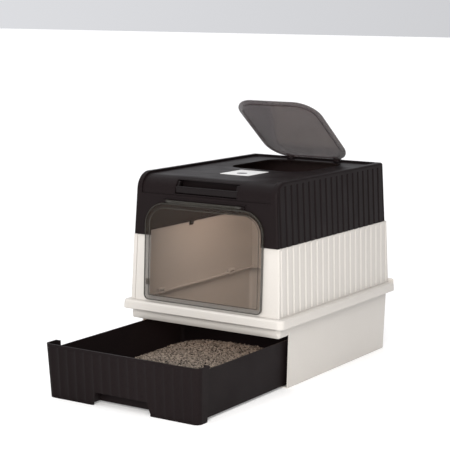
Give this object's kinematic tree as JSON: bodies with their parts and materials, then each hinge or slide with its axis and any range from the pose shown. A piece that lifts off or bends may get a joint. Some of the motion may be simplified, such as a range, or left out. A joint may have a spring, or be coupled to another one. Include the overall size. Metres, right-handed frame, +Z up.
{
  "type": "drawer litter box",
  "caption": "Enclosed cat litter box with a pull-out litter drawer, a see-through flap door, a lift-up roof lid, fold-down wall panels and a lift-off cover with a handle.",
  "frame": {"origin": "centre of the base's underside, on the floor", "axes": "+Z up, -Y towards the drawer and the door, +X to the right seen from the front"},
  "size_m": [0.4246, 0.8285, 0.6029],
  "materials": {
    "cream_plastic": "satin moulded plastic",
    "black_plastic": "fine matte moulded plastic",
    "gloss_black_plastic": "glossy",
    "smoke_plastic": "clear smoke-tinted",
    "litter": "loose mineral granules",
    "label": "plain white sticker",
    "pin_steel": "bright steel"
  },
  "bodies": {
    "base": {"base_housing": "cream_plastic", "left_side_panel": "cream_plastic", "right_side_panel": "cream_plastic", "side_panel_pins": "pin_steel", "front_panel_pins": "pin_steel", "back_panel_pins": "pin_steel"},
    "drawer": {"drawer_tray": "black_plastic", "litter_bed": "litter"},
    "front_wall": {"front_panel": "cream_plastic", "door_catch": "black_plastic"},
    "back_wall": {"back_panel": "cream_plastic"},
    "cover": {"top_cover": "black_plastic", "cover_clips": "black_plastic", "blank_label": "label", "handle_cup": "black_plastic", "handle_pins": "pin_steel", "door_pins": "pin_steel", "lid_pins": "pin_steel"},
    "door": {"door_flap": "smoke_plastic"},
    "lid": {"top_lid": "smoke_plastic"},
    "handle": {"carry_handle": "gloss_black_plastic"}
  },
  "joints": [
    {"name": "drawer_slide", "type": "slide", "parent": "base", "child": "drawer", "axis": [0, -1, 0], "range_m": [-0.3079, 0.11]},
    {"name": "cover_lift", "type": "slide", "parent": "base", "child": "cover", "axis": [0, 0, 1], "range_m": [0, 0.2]},
    {"name": "door_hinge", "type": "hinge", "parent": "cover", "child": "door", "pos_m": [0, -0.2539, 0.3922], "axis": [-1, 0, 0], "range_deg": [0, 90]},
    {"name": "lid_hinge", "type": "hinge", "parent": "cover", "child": "lid", "pos_m": [0, 0.231, 0.4522], "axis": [-1, 0, 0], "range_deg": [-37.3, 72]},
    {"name": "handle_hinge", "type": "hinge", "parent": "cover", "child": "handle", "pos_m": [0, -0.2315, 0.4335], "axis": [-1, 0, 0], "range_deg": [0, 78]},
    {"name": "front_panel_fold", "type": "hinge", "parent": "base", "child": "front_wall", "pos_m": [0, -0.246, 0.1668], "axis": [-1, 0, 0], "range_deg": [0, 84]},
    {"name": "back_panel_fold", "type": "hinge", "parent": "base", "child": "back_wall", "pos_m": [0, 0.2502, 0.1668], "axis": [1, 0, 0], "range_deg": [0, 84]}
  ]
}
